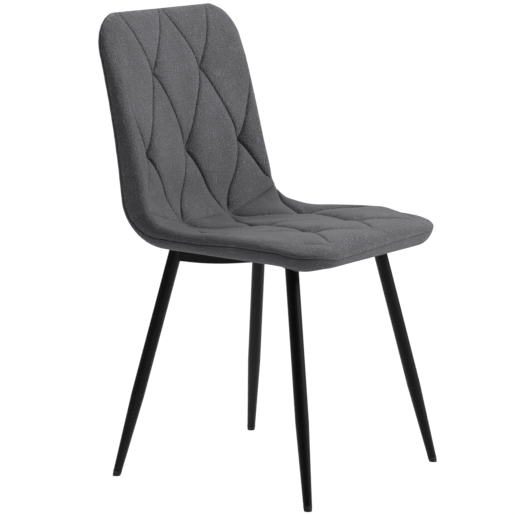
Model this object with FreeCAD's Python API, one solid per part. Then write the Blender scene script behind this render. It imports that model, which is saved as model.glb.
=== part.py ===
"""Upholstered dining chair on four splayed steel legs.

Millimetres. +Z is up, -Y is the front of the chair, +X is the sitter's left. The origin is on the floor
under the middle of the chair's outline. Left and right are the sitter's own.
"""
import FreeCAD, Part
import math
import os
from FreeCAD import Vector

os.makedirs("parts", exist_ok=True)

# ---- Shell: the line its plywood follows from the front edge of the seat to the top of the back ----
SHELL_FRONT_Y = -257.9          # where the plywood line starts, at the front edge
SHELL_FRONT_Z = 436.2
SHELL_FRONT_PITCH = 20.5        # degrees above level at the rounded front edge
FRONT_ROLL = (26.0, -18.8)      # each run is a length and the angle it turns through
SEAT_RUN = (324.0, -0.6)
CREASE_BEND = (124.0, 82.9)
LOWER_BACK = (281.0, -8.9)
UPPER_BACK = (62.0, 3.9)
SHELL_RUNS = (FRONT_ROLL, SEAT_RUN, CREASE_BEND, LOWER_BACK, UPPER_BACK)
SHELL_LENGTH = sum(run[0] for run in SHELL_RUNS)
BEND_START = FRONT_ROLL[0] + SEAT_RUN[0]
BEND_END = BEND_START + CREASE_BEND[0]
CREASE_STATION = (BEND_START + BEND_END) / 2     # the sewn line between seat and back

HALF_WIDTH = 212.5              # half the upholstered width
FRONT_CORNER = 69.0             # plan radius of the seat's front corners
TOP_CORNER = 76.0               # radius of the back's top corners
SEAT_DISH = 4.0                 # how far the middle sinks below the side edges
BACK_DISH = 17.0
DISH_START = 120.0              # the dish grows from nothing at the front edge over this length

# ---- Shell: what lies on each side of the plywood ----
PLY = 9.0
COVER = 1.6                     # a fabric cover with its bonded lining
GLUE_GAP = 0.2                  # clearance between layers
SOFT_GAP = 0.8                  # room left beside foam and wadding, which shift when sat on
LIP = 0.4                       # least thickness at a feathered edge
CUT_PAST = 6.0                  # how far a cutting solid reaches past what it cuts
REAR_DEPTH = 10.5               # plywood line to the outside of the rear cover
SEAT_SEAM = 10.0                # height of the edge seam over the plywood line, along the seat
BACK_SEAM = 1.0                 # and along the back
PAD_HEIGHTS = (                 # station along the shell, plywood line to the quilted face
    (80.0, 40.0),
    (BEND_START - 30.0, 33.5),
    (CREASE_STATION, 50.0),
    (BEND_END + 100.0, 35.5),
    (SHELL_LENGTH - 30.0, 12.0),
)
FRONT_ROUNDING = 22.0           # how far in from the edge the quilted side rounds over
REAR_ROUNDING = 20.0
PLY_INSET = 11.0
FOAM_INSET = 11.0
WADDING_INSET = 15.0
PAD_JOIN_GAP = 1.0              # half the slit between the seat pad and the back pad

# ---- Shell: dust cloth under the seat ----
DUST_FRONT = 55.0
DUST_REAR = 338.0
DUST_HALF_WIDTH = 165.0
DUST_CLOTH = 0.6
STAPLE_CROWN = 11.0
STAPLE_WIRE = 0.8
STAPLE_MARGIN = 7.0
STAPLES_ACROSS = 7
STAPLES_ALONG = 6

# ---- Steel base ----
LEG_RADIUS = 12.5
LEG_FOOT_RADIUS = 8.0
LEG_WALL = 1.5
LEG_TAPER_HEIGHT = 152.0        # height above the floor where the taper begins
FRONT_FOOT = (214.3, -239.4)    # where a front leg's axis meets the floor
FRONT_LEAN = (0.166, -0.200)    # how far it leans out per unit of height
REAR_FOOT = (218.4, 192.6)
REAR_LEAN = (0.196, 0.189)
FRONT_LEG_TOP = 428.0
REAR_LEG_TOP = 433.0
RAIL_TOP = 425.0
RAIL_BLANK = 35.0               # height of the tube a rail is cut from, before its lower edge is shaped
RAIL_WIDTH = 20.0
RAIL_WALL = 1.6
RAIL_CORNER = 4.0
REAR_ARM_EDGE = ((0.0, 400.5), (0.3, 399.0), (0.55, 398.8), (0.8, 402.5), (1.0, 408.0))
FRONT_ARM_EDGE = ((0.0, 400.5), (0.3, 404.5), (0.6, 411.0), (0.8, 415.0), (1.0, 418.5))
ARM_OVERRUN = 0.08              # share of an arm by which its lower edge is carried past the leg's axis
BOLT_FROM_LEG = 46.0            # along the rail, from the leg's axis

# ---- Foot caps ----
CAP_LENGTH = 9.0                # from the tube's end to the floor
CAP_RADIUS = 8.4
CAP_TIP_RADIUS = 7.2
CAP_STEM_RADIUS = 6.3
CAP_STEM_LENGTH = 22.0

# ---- Fasteners, M6 ----
BOLT_RADIUS = 3.0
BOLT_HEAD_RADIUS = 5.25
BOLT_HEAD_HEIGHT = 3.3
HEX_SOCKET = 4.0                # across flats
HEX_DEPTH = 2.0
WASHER_RADIUS = 6.0
WASHER_THICKNESS = 1.2
SPRING_RADIUS = 5.2
SPRING_THICKNESS = 1.4
SPRING_SLIT_TILT = 25.0         # degrees
CLEARANCE_HOLE = 3.3            # radius
HOLE_REACH = 60.0               # from the rail's top, past the plywood
SPACER_RADIUS = 12.0
TEE_BARREL_RADIUS = 3.9
TEE_BARREL_LENGTH = 8.0
TEE_FLANGE_RADIUS = 9.5
TEE_FLANGE_THICKNESS = 1.5
TEE_BORE = 3.05
TEE_RECESS = 0.5                # room round the flange in the foam

# ---- How closely the curved surfaces are laid out ----
STATION_STEP = 24.0
BEND_STEP = 11.0
END_REACH = 30.0                # length of shell at a rounded end that is laid out more closely
END_STEPS = 7
LEAST_STEP = 1.0
SECTION_POINTS = 12             # each side of the middle


def smooth_step(low, high, value):
    """0 below low, 1 above high, and an even S between them."""
    part = min(max((value - low) / (high - low), 0.0), 1.0)
    return part * part * (3.0 - 2.0 * part)


def shell_line(station):
    """Y, Z and pitch in radians of the plywood line, a given length from the front edge."""
    y, z, pitch = SHELL_FRONT_Y, SHELL_FRONT_Z, math.radians(SHELL_FRONT_PITCH)
    left = min(station, SHELL_LENGTH)
    for length, turn in SHELL_RUNS:
        curvature = math.radians(turn) / length
        along = min(left, length)
        end_pitch = pitch + curvature * along
        y += (math.sin(end_pitch) - math.sin(pitch)) / curvature
        z -= (math.cos(end_pitch) - math.cos(pitch)) / curvature
        pitch = end_pitch
        left -= along
        if left <= 0.0:
            break
    return y, z, pitch


def on_back(station):
    """0 on the seat, 1 on the back, and between them through the bend."""
    return smooth_step(BEND_START, BEND_END, station)


def seam_height(station):
    return SEAT_SEAM + (BACK_SEAM - SEAT_SEAM) * on_back(station)


def pad_height(station):
    """Height of the quilted face over the plywood line, eased between the listed stations."""
    if station <= PAD_HEIGHTS[0][0]:
        return PAD_HEIGHTS[0][1]
    for (low, low_height), (high, high_height) in zip(PAD_HEIGHTS, PAD_HEIGHTS[1:]):
        if station <= high:
            return low_height + (high_height - low_height) * smooth_step(low, high, station)
    return PAD_HEIGHTS[-1][1]


def dish(station, x):
    """How far the shell is pushed away from the sitter at this place."""
    depth = SEAT_DISH + (BACK_DISH - SEAT_DISH) * on_back(station)
    return depth * (1.0 - (x / HALF_WIDTH) ** 2) * smooth_step(0.0, DISH_START, station)


def shell_point(station, x, height):
    """The point a given height over the plywood line, towards the sitter."""
    y, z, pitch = shell_line(station)
    height -= dish(station, x)
    return Vector(x, y - math.sin(pitch) * height, z + math.cos(pitch) * height)


def half_width(station, inset):
    """Half the width of the rounded outline at this station."""
    width = HALF_WIDTH - inset
    for corner, from_end in ((FRONT_CORNER, station), (TOP_CORNER, SHELL_LENGTH - station)):
        radius = corner - inset
        short = radius - (from_end - inset)
        if short > 0.0:
            return width - radius + math.sqrt(max(radius ** 2 - short ** 2, 0.0))
    return width


def edge_distance(station, x, inset):
    """Distance in from the rounded outline, which is itself inset from the outer edge."""
    across = HALF_WIDTH - abs(x)
    distance = min(across, station, SHELL_LENGTH - station)
    for corner, from_end in ((FRONT_CORNER, station), (TOP_CORNER, SHELL_LENGTH - station)):
        if across < corner and from_end < corner:
            distance = corner - math.hypot(corner - across, corner - from_end)
    return max(distance - inset, 0.0)


def rounded(distance, rounding):
    """A quarter round: 0 at the edge, 1 from the rounding width inwards."""
    part = min(distance / rounding, 1.0)
    return math.sqrt(1.0 - (1.0 - part) ** 2)


def stations_between(first, last, end_inset):
    """Stations of the cross sections, close together at rounded ends and through the bend."""
    picked = []
    start_rounded = first <= end_inset + LIP
    end_rounded = last >= SHELL_LENGTH - end_inset - LIP
    inner_first = first + END_REACH if start_rounded else first
    inner_last = last - END_REACH if end_rounded else last
    if start_rounded:
        for step in range(END_STEPS):
            picked.append(first + END_REACH * (1.0 - math.cos(math.pi / 2 * step / END_STEPS)))
    position = inner_first
    while position < inner_last - LEAST_STEP:
        picked.append(position)
        in_bend = BEND_START - STATION_STEP < position < BEND_END
        position += BEND_STEP if in_bend else STATION_STEP
    if inner_last - picked[-1] < BEND_STEP / 2:
        picked.pop()
    picked.append(inner_last)
    if end_rounded:
        for step in range(1, END_STEPS + 1):
            turn = math.pi / 2 * (1.0 - step / END_STEPS)
            picked.append(last - END_REACH * (1.0 - math.cos(turn)))
    return picked


def section_edge(station, width, height_at):
    """One smooth line across the shell, at a height that varies over its width."""
    count = 2 * SECTION_POINTS
    spread = [math.sin(math.pi / 2 * (index / SECTION_POINTS - 1.0)) for index in range(count + 1)]
    points = [shell_point(station, width * part, height_at(station, width * part)) for part in spread]
    curve = Part.BSplineCurve()
    curve.interpolate(Points=points, Parameters=[index / count for index in range(count + 1)])
    return curve.toShape()


def layer(low_at, high_at, first, last, inset, width_at=half_width):
    """A closed solid between two heights over the plywood line, lofted through cross sections."""
    sections = []
    for station in stations_between(first, last, inset):
        width = width_at(station, inset)
        low = section_edge(station, width, low_at)
        high = section_edge(station, width, high_at)
        ends = [(low.Curve.value(part), high.Curve.value(part)) for part in (0.0, 1.0)]
        walls = [Part.makeLine(bottom, top) for bottom, top in ends]
        sections.append(Part.Wire([low, walls[1], high, walls[0]]))
    return Part.makeLoft(sections, True, False)


def save(name, shape):
    """Write one node. A group of like pieces is a compound of separate solids."""
    if not shape.isValid() or shape.Volume <= 0.0:
        raise ValueError("bad solid: " + name)
    shape.exportStep(os.path.join("parts", name + ".step"))
    print(name, len(shape.Solids), "solids", round(shape.Volume / 1000.0, 1), "cm3")


# ---- Places shared by the base and the shell ----

LEGS = {}
for end, foot, lean, top in (
    ("front", FRONT_FOOT, FRONT_LEAN, FRONT_LEG_TOP),
    ("rear", REAR_FOOT, REAR_LEAN, REAR_LEG_TOP),
):
    for side, sign in (("left", 1.0), ("right", -1.0)):
        LEGS[end + "_" + side] = {
            "foot": Vector(sign * foot[0], foot[1], 0.0),
            "up": Vector(-sign * lean[0], -lean[1], 1.0),
            "top": top,
        }

RAIL_MIDDLE = RAIL_TOP - RAIL_BLANK / 2
RAIL_ENDS = {name: leg["foot"] + leg["up"] * RAIL_MIDDLE for name, leg in LEGS.items()}


def crossing():
    """Where the two diagonals meet, on the chair's middle plane."""
    front, rear = RAIL_ENDS["front_left"], RAIL_ENDS["rear_right"]
    part = front.x / (front.x - rear.x)
    return front + (rear - front) * part


CENTRE = crossing()


def bolt_place(name):
    """Axis of a bolt, at the height of the rails' middle."""
    inward = (CENTRE - RAIL_ENDS[name]).normalize()
    return RAIL_ENDS[name] + inward * BOLT_FROM_LEG


BOLTS = {name: bolt_place(name) for name in LEGS}


def station_over(y):
    """Station along the flat of the seat that lies over a given Y."""
    low, high = 0.0, BEND_END
    while high - low > GLUE_GAP / 10:
        middle = (low + high) / 2
        if shell_line(middle)[0] < y:
            low = middle
        else:
            high = middle
    return low


def shell_height(place, height):
    """Z of the shell, a given height over its plywood line, above a place on the base."""
    return shell_point(station_over(place.y), place.x, height).z


def upright(radius, place, bottom, top):
    """A vertical cylinder between two heights."""
    return Part.makeCylinder(radius, top - bottom, Vector(place.x, place.y, bottom))


def bolt_holes(radius, bottom, top):
    return Part.makeCompound([upright(radius, place, bottom, top) for place in BOLTS.values()])


# ---- Shell pieces ----

HALF_PLY = PLY / 2
FOAM_FLOOR = HALF_PLY + GLUE_GAP
WADDING_FACE = HALF_PLY + SOFT_GAP / 2
REAR_INNER = REAR_DEPTH - COVER
HOLE_BOTTOM = RAIL_TOP
HOLE_TOP = RAIL_TOP + HOLE_REACH


def quilted_face(inset, drop, floor):
    """Height function of the padded face: a quarter round from the floor up to the pad's height."""
    def height_at(station, x):
        base = floor(station)
        rise = pad_height(station) - drop - base - LIP
        return base + LIP + rise * rounded(edge_distance(station, x, inset), FRONT_ROUNDING)
    return height_at


def rear_face(inset, depth, ceiling):
    """Height function of the rear face: a quarter round from the ceiling down to the depth."""
    def height_at(station, x):
        top = ceiling(station)
        fall = depth + top - LIP
        return top - LIP - fall * rounded(edge_distance(station, x, inset), REAR_ROUNDING)
    return height_at


def make_shell_core():
    """One-piece bent plywood seat and back, drilled for four tee nuts."""
    core = layer(
        lambda station, x: -HALF_PLY,
        lambda station, x: HALF_PLY,
        PLY_INSET + LIP,
        SHELL_LENGTH - PLY_INSET - LIP,
        PLY_INSET,
    )
    return core.cut(bolt_holes(TEE_BARREL_RADIUS + GLUE_GAP / 2, HOLE_BOTTOM, HOLE_TOP))


def make_foam(first, last):
    """A foam pad glued on the plywood."""
    return layer(
        lambda station, x: FOAM_FLOOR,
        quilted_face(FOAM_INSET, COVER + SOFT_GAP, lambda station: FOAM_FLOOR),
        first,
        last,
        FOAM_INSET,
    )


def make_seat_foam():
    """The seat's pad, with room for the tee nuts' flanges."""
    foam = make_foam(FOAM_INSET + LIP, CREASE_STATION - PAD_JOIN_GAP)
    for place in BOLTS.values():
        seat = shell_height(place, HALF_PLY)
        recess = TEE_FLANGE_THICKNESS + 2 * TEE_RECESS
        foam = foam.cut(upright(TEE_FLANGE_RADIUS + TEE_RECESS, place, seat - recess, seat + recess))
    return foam


def make_back_foam():
    return make_foam(CREASE_STATION + PAD_JOIN_GAP, SHELL_LENGTH - FOAM_INSET - LIP)


def make_rear_wadding():
    """Thin wadding over the back and underside of the plywood."""
    wadding = layer(
        rear_face(WADDING_INSET, REAR_INNER - SOFT_GAP, lambda station: -WADDING_FACE),
        lambda station, x: -WADDING_FACE,
        WADDING_INSET + LIP,
        SHELL_LENGTH - WADDING_INSET - LIP,
        WADDING_INSET,
    )
    return wadding.cut(bolt_holes(CLEARANCE_HOLE, HOLE_BOTTOM, HOLE_TOP))


def make_quilted_cover(first, last):
    """The fabric over a pad: its outer form, hollowed by the same form one cover smaller."""
    outer = layer(
        lambda station, x: seam_height(station),
        quilted_face(0.0, 0.0, seam_height),
        max(first, LIP),
        min(last, SHELL_LENGTH - LIP),
        0.0,
    )
    inner = layer(
        lambda station, x: seam_height(station) - CUT_PAST,
        quilted_face(COVER, COVER, seam_height),
        max(first - CUT_PAST, COVER + LIP),
        min(last + CUT_PAST, SHELL_LENGTH - COVER - LIP),
        COVER,
    )
    return outer.cut(inner)


def make_rear_cover():
    """The plain fabric behind and below, sewn to the quilted covers along the edge seam."""
    outer = layer(
        rear_face(0.0, REAR_DEPTH, lambda station: seam_height(station) - GLUE_GAP),
        lambda station, x: seam_height(station) - GLUE_GAP,
        LIP,
        SHELL_LENGTH - LIP,
        0.0,
    )
    inner = layer(
        rear_face(COVER, REAR_INNER, lambda station: seam_height(station) - GLUE_GAP),
        lambda station, x: seam_height(station) + CUT_PAST,
        COVER + LIP,
        SHELL_LENGTH - COVER - LIP,
        COVER,
    )
    return outer.cut(inner).cut(bolt_holes(CLEARANCE_HOLE, HOLE_BOTTOM, HOLE_TOP))


def make_dust_cover():
    """Black cloth stapled under the seat."""
    cloth = layer(
        lambda station, x: -(REAR_DEPTH + GLUE_GAP + DUST_CLOTH),
        lambda station, x: -(REAR_DEPTH + GLUE_GAP),
        DUST_FRONT,
        DUST_REAR,
        0.0,
        lambda station, inset: DUST_HALF_WIDTH,
    )
    return cloth.cut(bolt_holes(CLEARANCE_HOLE, HOLE_BOTTOM, HOLE_TOP))


def staple(station, x, along_seat):
    """The crown of one staple, lying flat on the dust cloth."""
    _, _, pitch = shell_line(station)
    place = shell_point(station, x, -(REAR_DEPTH + 2 * GLUE_GAP + DUST_CLOTH))
    crown = Part.makeBox(STAPLE_CROWN, STAPLE_WIRE, STAPLE_WIRE)
    crown.translate(Vector(-STAPLE_CROWN / 2, -STAPLE_WIRE / 2, -STAPLE_WIRE))
    if along_seat:
        crown.rotate(Vector(), Vector(0, 0, 1), 90.0)
    crown.rotate(Vector(), Vector(1, 0, 0), math.degrees(pitch))
    crown.translate(place)
    return crown


def make_staples():
    crowns = []
    first, last = DUST_FRONT + STAPLE_MARGIN, DUST_REAR - STAPLE_MARGIN
    side = DUST_HALF_WIDTH - STAPLE_MARGIN
    for index in range(STAPLES_ACROSS):
        x = side * 2.0 * ((index + 0.5) / STAPLES_ACROSS - 0.5)
        crowns += [staple(first, x, False), staple(last, x, False)]
    for index in range(STAPLES_ALONG):
        station = first + (last - first) * (index + 0.5) / STAPLES_ALONG
        crowns += [staple(station, -side, True), staple(station, side, True)]
    return Part.makeCompound(crowns)


# ---- Steel base ----

def leg_bar(leg, growth, first, last):
    """The leg's outer form, grown or shrunk, between two heights along its axis."""
    taper_end = max(first, min(LEG_TAPER_HEIGHT, last))
    foot, up = leg["foot"], leg["up"]
    lean = up.Length
    slope = (LEG_RADIUS - LEG_FOOT_RADIUS) / (LEG_TAPER_HEIGHT - CAP_LENGTH)
    low_radius = min(LEG_RADIUS, LEG_FOOT_RADIUS + slope * (first - CAP_LENGTH)) + growth
    high_radius = min(LEG_RADIUS, LEG_FOOT_RADIUS + slope * (taper_end - CAP_LENGTH)) + growth
    bar = Part.makeCone(low_radius, high_radius, (taper_end - first) * lean, foot + up * first, up)
    if last > taper_end:
        straight = (last - taper_end) * lean
        bar = bar.fuse(Part.makeCylinder(LEG_RADIUS + growth, straight, foot + up * taper_end, up))
    return bar


def above(height):
    """A block that takes everything over a height."""
    size = 4 * HALF_WIDTH
    return Part.makeBox(size, size, size, Vector(-size / 2, -size / 2, height))


def make_leg(leg):
    """A round steel tube with a swaged taper, cut level at the top."""
    past = leg["top"] + CUT_PAST
    tube = leg_bar(leg, 0.0, CAP_LENGTH, past)
    bore = leg_bar(leg, -LEG_WALL, CAP_LENGTH - CUT_PAST / 2, past + CUT_PAST)
    return tube.cut(bore).cut(above(leg["top"])).removeSplitter()


def make_foot_cap(leg):
    """A plastic glide plugged into the tube, flat on the floor."""
    foot, up = leg["foot"], leg["up"]
    lean = up.Length
    start = -CUT_PAST
    spread = (CAP_RADIUS - CAP_TIP_RADIUS) / CAP_LENGTH
    tip = CAP_TIP_RADIUS + spread * start
    collar = Part.makeCone(tip, CAP_RADIUS, (CAP_LENGTH - start) * lean, foot + up * start, up)
    stem_start = foot + up * (CAP_LENGTH - LIP)
    stem = Part.makeCylinder(CAP_STEM_RADIUS, CAP_STEM_LENGTH, stem_start, up)
    size = 2 * CAP_STEM_LENGTH
    floor = Part.makeBox(size, size, size, foot - Vector(size / 2, size / 2, size))
    return collar.fuse(stem).cut(floor).removeSplitter()


def rail_bar(start, end, shrink):
    """A level bar with rounded edges between two points, or its bore when shrunk by the wall."""
    run = end - start
    width, height = RAIL_WIDTH - 2 * shrink, RAIL_BLANK - 2 * shrink
    bar = Part.makeBox(run.Length, width, height, Vector(0, -width / 2, -height / 2))
    level = [edge for edge in bar.Edges if abs(edge.Length - run.Length) < GLUE_GAP]
    bar = bar.makeFillet(RAIL_CORNER - shrink, level)
    bar.rotate(Vector(), Vector(0, 0, 1), math.degrees(math.atan2(run.y, run.x)))
    bar.translate(start)
    return bar


def under_arm(name):
    """What lies under one arm's curved lower edge, from the crossing out past the leg."""
    edge = FRONT_ARM_EDGE if name.startswith("front") else REAR_ARM_EDGE
    run = RAIL_ENDS[name] - CENTRE
    last_rise = (edge[-1][1] - edge[-2][1]) / (edge[-1][0] - edge[-2][0])
    edge = edge + ((1.0 + ARM_OVERRUN, edge[-1][1] + last_rise * ARM_OVERRUN),)
    points = [Vector(CENTRE.x + run.x * part, CENTRE.y + run.y * part, z) for part, z in edge]
    floor = RAIL_TOP - RAIL_BLANK - CUT_PAST
    ends = [Vector(point.x, point.y, floor) for point in (points[-1], points[0])]
    curve = Part.BSplineCurve()
    curve.interpolate(points)
    around = Part.makePolygon([points[-1], ends[0], ends[1], points[0]])
    outline = Part.Wire([curve.toShape()] + around.Edges)
    across = Vector(-run.y, run.x, 0.0).normalize() * RAIL_WIDTH
    outline.translate(across * -1.0)
    return Part.Face(outline).extrude(across * 2.0)


def make_rail(start, end, neighbours, arms):
    """An inverted channel with curved lower edges, coped to its neighbours, drilled for its bolts."""
    rail = rail_bar(start, end, 0.0).cut(rail_bar(start, end, RAIL_WALL))
    for neighbour in neighbours:
        rail = rail.cut(neighbour)
    for name in arms:
        rail = rail.cut(upright(CLEARANCE_HOLE, BOLTS[name], RAIL_MIDDLE, RAIL_TOP + CUT_PAST))
        rail = rail.cut(under_arm(name))
    return max(rail.Solids, key=lambda solid: solid.Volume)


def leg_solid(name):
    leg = LEGS[name]
    return leg_bar(leg, 0.0, CAP_LENGTH, leg["top"] + CUT_PAST)


def make_rails():
    """One rail runs the whole diagonal, and two halves are welded to its middle."""
    long_start, long_end = RAIL_ENDS["front_left"], RAIL_ENDS["rear_right"]
    across = rail_bar(long_start, long_end, 0.0)
    rails = {
        "cross_rail_long": make_rail(
            long_start,
            long_end,
            [leg_solid("front_left"), leg_solid("rear_right")],
            ["front_left", "rear_right"],
        )
    }
    for end, name in (("front", "front_right"), ("rear", "rear_left")):
        rails["cross_rail_" + end + "_half"] = make_rail(
            RAIL_ENDS[name], CENTRE, [leg_solid(name), across], [name]
        )
    return rails


# ---- Fastening the base to the shell ----

WALL_UNDER = RAIL_TOP - RAIL_WALL               # inner face of the rail's upper wall
WASHER_BOTTOM = WALL_UNDER - WASHER_THICKNESS
SPRING_BOTTOM = WASHER_BOTTOM - SPRING_THICKNESS


def make_bolt(place):
    """A button head bolt inside the rail, up into the tee nut."""
    tip = shell_height(place, HALF_PLY)
    head = upright(BOLT_HEAD_RADIUS, place, SPRING_BOTTOM - BOLT_HEAD_HEIGHT, SPRING_BOTTOM)
    lower = [edge for edge in head.Edges if edge.BoundBox.ZMax < SPRING_BOTTOM - LIP]
    rims = [edge for edge in lower if edge.BoundBox.XLength > BOLT_HEAD_RADIUS]
    head = head.makeFillet(BOLT_HEAD_HEIGHT / 2, rims)
    shank = upright(BOLT_RADIUS, place, SPRING_BOTTOM - LIP, tip)
    corner = HEX_SOCKET / math.sqrt(3.0)
    depth = SPRING_BOTTOM - BOLT_HEAD_HEIGHT
    ring = [
        Vector(place.x + corner * math.cos(turn), place.y + corner * math.sin(turn), depth)
        for turn in (math.pi / 3 * step for step in range(7))
    ]
    socket = Part.Face(Part.makePolygon(ring)).extrude(Vector(0, 0, HEX_DEPTH))
    return head.fuse(shank).cut(socket).removeSplitter()


def make_ring(place, outer, inner, bottom, top):
    return upright(outer, place, bottom, top).cut(upright(inner, place, bottom - LIP, top + LIP))


def make_spring_washer(place):
    """A ring with one slanted slit."""
    ring = make_ring(place, SPRING_RADIUS, BOLT_RADIUS + GLUE_GAP, SPRING_BOTTOM, WASHER_BOTTOM)
    slit = Part.makeBox(SPRING_RADIUS * 2, LIP, SPRING_THICKNESS * 3)
    slit.translate(Vector(0, -LIP / 2, -SPRING_THICKNESS))
    slit.rotate(Vector(0, 0, SPRING_THICKNESS / 2), Vector(1, 0, 0), SPRING_SLIT_TILT)
    slit.translate(Vector(place.x, place.y, SPRING_BOTTOM))
    return ring.cut(slit)


def make_spacer(place):
    """A plastic disc between the rail and the underside of the seat."""
    rim = [
        Vector(place.x + side * SPACER_RADIUS, place.y + ahead * SPACER_RADIUS, 0.0)
        for side in (-1, 1)
        for ahead in (-1, 1)
    ]
    cloth = -(REAR_DEPTH + 2 * GLUE_GAP + DUST_CLOTH)
    top = min(shell_height(corner, cloth) for corner in rim) - GLUE_GAP
    return make_ring(place, SPACER_RADIUS, CLEARANCE_HOLE, RAIL_TOP, top)


def make_tee_nut(place):
    """A flanged nut pressed into the plywood from above."""
    seat = shell_height(place, HALF_PLY) + 2 * GLUE_GAP
    barrel = upright(TEE_BARREL_RADIUS, place, seat - TEE_BARREL_LENGTH, seat)
    flange = upright(TEE_FLANGE_RADIUS, place, seat, seat + TEE_FLANGE_THICKNESS)
    bore = upright(TEE_BORE, place, seat - TEE_BARREL_LENGTH - LIP, seat + TEE_FLANGE_THICKNESS + LIP)
    return barrel.fuse(flange).cut(bore)


# ---- Write every node ----

save("shell_core", make_shell_core())
save("seat_foam", make_seat_foam())
save("back_foam", make_back_foam())
save("rear_wadding", make_rear_wadding())
save("seat_cover", make_quilted_cover(0.0, CREASE_STATION - GLUE_GAP / 2))
save("back_cover", make_quilted_cover(CREASE_STATION + GLUE_GAP / 2, SHELL_LENGTH))
save("rear_cover", make_rear_cover())
save("dust_cover", make_dust_cover())
save("dust_cover_staples", make_staples())

for name, leg in LEGS.items():
    save("leg_" + name, make_leg(leg))
    save("foot_cap_" + name, make_foot_cap(leg))
    save("seat_spacer_" + name, make_spacer(BOLTS[name]))
for name, rail in make_rails().items():
    save(name, rail)

save("frame_bolts", Part.makeCompound([make_bolt(place) for place in BOLTS.values()]))
save("spring_washers", Part.makeCompound([make_spring_washer(place) for place in BOLTS.values()]))
save(
    "flat_washers",
    Part.makeCompound(
        [
            make_ring(place, WASHER_RADIUS, BOLT_RADIUS + GLUE_GAP, WASHER_BOTTOM, WALL_UNDER)
            for place in BOLTS.values()
        ]
    ),
)
save("tee_nuts", Part.makeCompound([make_tee_nut(place) for place in BOLTS.values()]))
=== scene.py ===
"""Looks of the upholstered dining chair: quilted covers, plain rear cover, steel base and small parts.

Metres in the row frame, millimetres inside the shape functions. +Z is up and -Y is the front.
"""
import math

import bpy
import numpy as np
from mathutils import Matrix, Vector


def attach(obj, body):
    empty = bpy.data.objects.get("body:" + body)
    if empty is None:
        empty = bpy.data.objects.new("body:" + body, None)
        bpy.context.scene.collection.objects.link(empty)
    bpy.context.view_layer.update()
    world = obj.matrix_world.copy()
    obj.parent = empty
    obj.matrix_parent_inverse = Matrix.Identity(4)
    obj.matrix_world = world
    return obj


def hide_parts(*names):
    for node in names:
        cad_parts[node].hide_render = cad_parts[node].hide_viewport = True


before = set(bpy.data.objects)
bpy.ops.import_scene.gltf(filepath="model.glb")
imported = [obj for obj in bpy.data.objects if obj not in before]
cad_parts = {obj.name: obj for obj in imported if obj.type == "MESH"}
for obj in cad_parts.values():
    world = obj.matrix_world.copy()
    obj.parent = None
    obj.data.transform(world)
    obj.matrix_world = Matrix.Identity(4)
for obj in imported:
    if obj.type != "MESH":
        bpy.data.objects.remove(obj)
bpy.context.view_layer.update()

# ---- Line of the shell ----
# The seat and back are one bent plywood shell. Everything padded is measured from it: a station is the
# length along the plywood from the front edge, x is across, and height is out of the wood to the sitter.

FRONT_EDGE = (-257.9, 436.2, 20.5)      # y, z and pitch in degrees
BENDS = ((26.0, -18.8), (324.0, -0.6), (124.0, 82.9), (281.0, -8.9), (62.0, 3.9))   # length and turn
SHELL_LENGTH = sum(length for length, _ in BENDS)
SEAT_END, BACK_START = 350.0, 474.0     # stations where the bend between them begins and ends
HALF_WIDTH = 212.5
FRONT_CORNER = 69.0
TOP_CORNER = 76.0
SEAT_HOLLOW, BACK_HOLLOW = 4.0, 17.0    # depth of the dish across the shell
TOP_ARCH = 4.0                          # how far the top edge rises in the middle
SEAT_SEAM, BACK_SEAM = 10.0, 1.0        # height of the edge seam
SEAM_SWELL = 5.0


def eased(low, high, value):
    """0 below low, 1 above high, and 3v^2 - 2v^3 between them."""
    part = np.clip((value - low) / (high - low), 0.0, 1.0)
    return part * part * (3.0 - 2.0 * part)


def shell_line(station):
    """Y, Z and pitch of the plywood line: arcs of steady bend laid end to end."""
    y = np.full_like(station, FRONT_EDGE[0])
    z = np.full_like(station, FRONT_EDGE[1])
    pitch = np.full_like(station, math.radians(FRONT_EDGE[2]))
    left = station.copy()
    for length, turn in BENDS:
        bend = math.radians(turn) / length
        along = np.clip(left, 0.0, length)
        after = pitch + bend * along
        y += (np.sin(after) - np.sin(pitch)) / bend
        z -= (np.cos(after) - np.cos(pitch)) / bend
        pitch = after
        left = left - along
    return y, z, pitch


def on_back(station):
    """0 on the seat, 1 on the back, eased through the bend."""
    return eased(SEAT_END, BACK_START, station)


def shell_surface(station, x, height):
    """Point over the line plus height along its normal, less a hollow of depth (1 - (x/half)^2).

    The top edge is cut to a slight arch, so stations near it are longer in the middle.
    """
    arch = TOP_ARCH * eased(700.0, 810.0, station) * (1.0 - np.clip(np.abs(x) / 170.0, 0.0, 1.0) ** 2)
    y, z, pitch = shell_line(station + arch)
    hollow = SEAT_HOLLOW + (BACK_HOLLOW - SEAT_HOLLOW) * on_back(station)
    over = height - hollow * (1.0 - (x / HALF_WIDTH) ** 2) * eased(0.0, 120.0, station)
    return np.stack([x, y - np.sin(pitch) * over, z + np.cos(pitch) * over], -1) / 1000.0


def seam_height(station, x):
    """Height of the edge seam, eased from the seat's to the back's.

    The cloth was fed by hand, so the seam puckers as two crossing sines. It climbs along the front edge
    towards the sitter's left, and swells over the front leg on the sitter's right.
    """
    across = np.clip(x / 150.0, -1.0, 1.0)
    front = eased(110.0, 25.0, station) * (8.0 + 6.5 * across - 0.5 * across ** 2)
    swell = eased(270.0, 180.0, station) * eased(45.0, 100.0, station) * eased(0.0, -150.0, x)
    pucker = 0.35 * np.sin((station + x) / 4.1) + 0.3 * np.sin((station - 1.3 * x) / 9.7)
    level = SEAT_SEAM - (SEAT_SEAM - BACK_SEAM) * on_back(station)
    return level + pucker + front + SEAM_SWELL * swell


# ---- Quilted covers of the seat and the back ----
# Charcoal melange fabric bonded to thin foam, sewn in diamonds and pulled down to the pad at every
# crossing. Seat and back meet in a sewn crease, and both are sewn to the plain cover at the edge seam.

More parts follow.
